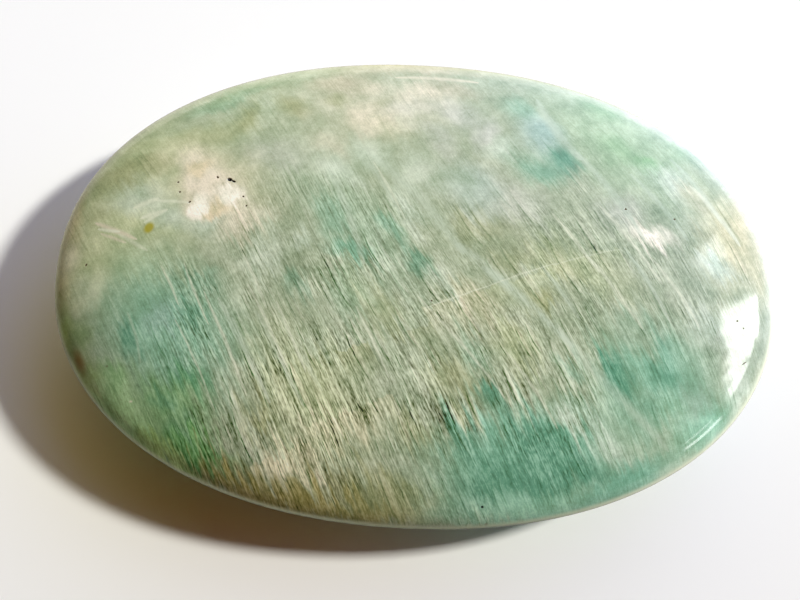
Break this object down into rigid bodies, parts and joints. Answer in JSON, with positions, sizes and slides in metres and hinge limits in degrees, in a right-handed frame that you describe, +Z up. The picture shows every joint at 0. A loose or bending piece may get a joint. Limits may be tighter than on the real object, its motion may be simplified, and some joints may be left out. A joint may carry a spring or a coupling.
{
  "type": "palm stone",
  "caption": "Flattened oval palm stone of polished green and cream feldspar, with a domed top, a rounded rim and a small flat resting spot.",
  "frame": {"origin": "middle of the small flat spot under the stone, on the surface that it rests on", "axes": "+X along the long axis of the oval, +Y along its short axis, +Z up through the top of the crown"},
  "size_m": [0.07, 0.0482, 0.014],
  "materials": {
    "polished_feldspar": "high polish"
  },
  "bodies": {
    "root": {"palm_stone": "polished_feldspar"}
  },
  "joints": []
}
